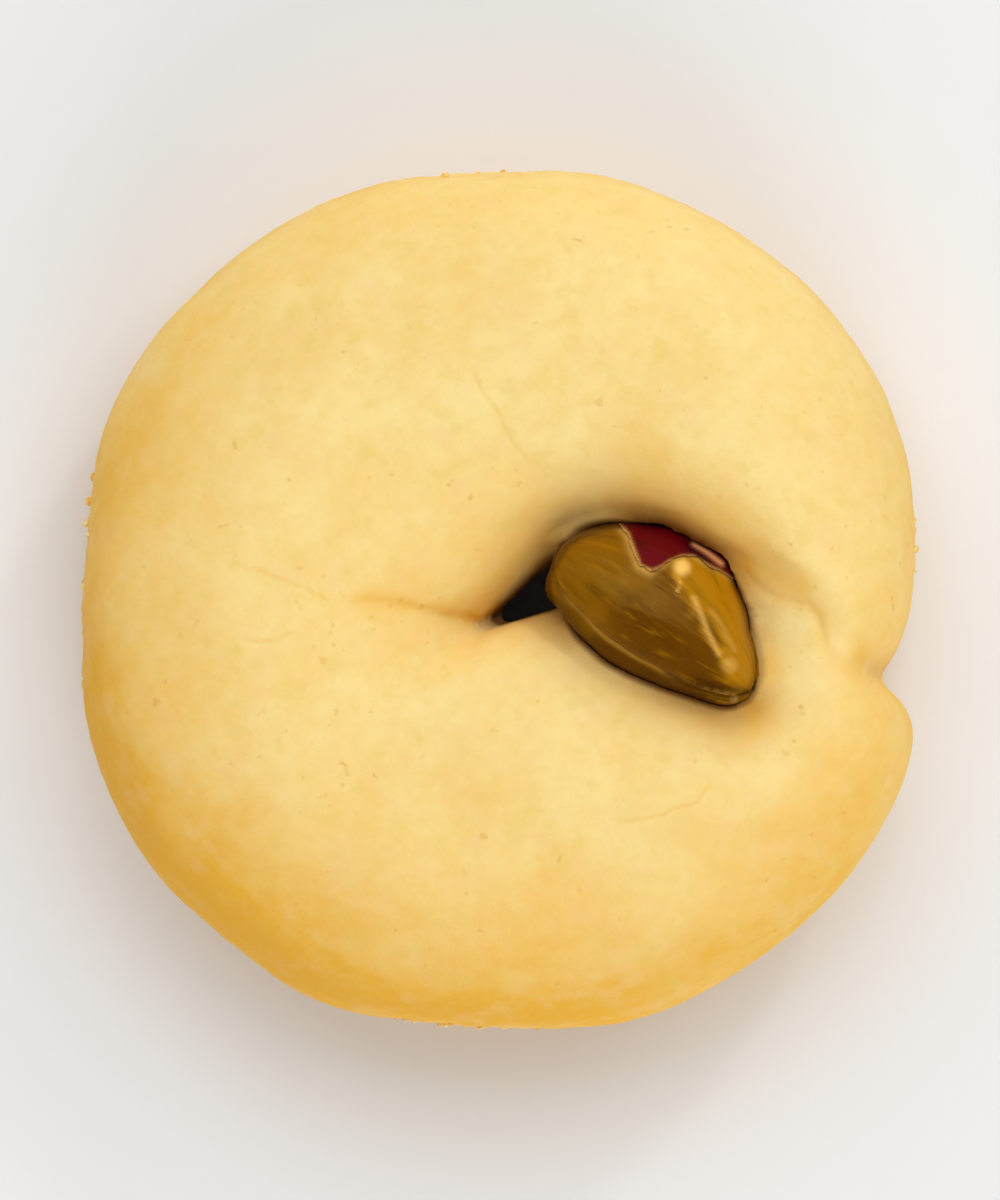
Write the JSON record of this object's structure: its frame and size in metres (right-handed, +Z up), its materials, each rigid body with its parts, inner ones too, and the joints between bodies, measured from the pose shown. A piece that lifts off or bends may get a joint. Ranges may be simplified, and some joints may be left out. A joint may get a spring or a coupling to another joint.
{
  "type": "ghriba cookie",
  "caption": "Round butter cookie: a rope of pale dough closed into a ring with a slit hole, its ends pinched together under a pistachio kernel.",
  "frame": {"origin": "under the middle of the cookie, on the flat underside it rests on", "axes": "+Z up out of the decorated top; +X from the middle towards the joint of the rope's two ends; +Y along the slightly longer way across, towards the side with no notch"},
  "size_m": [0.0502, 0.0517, 0.0185],
  "materials": {
    "dough": "matte, fine-grained baked butter dough, pale butter yellow, more golden at the outer sides and underneath",
    "kernel": "glossy roasted pistachio flesh, olive to amber, with a burgundy patch of skin along one side"
  },
  "bodies": {
    "root": {"dough_ring": "dough", "pistachio_kernel": "kernel"}
  },
  "joints": []
}
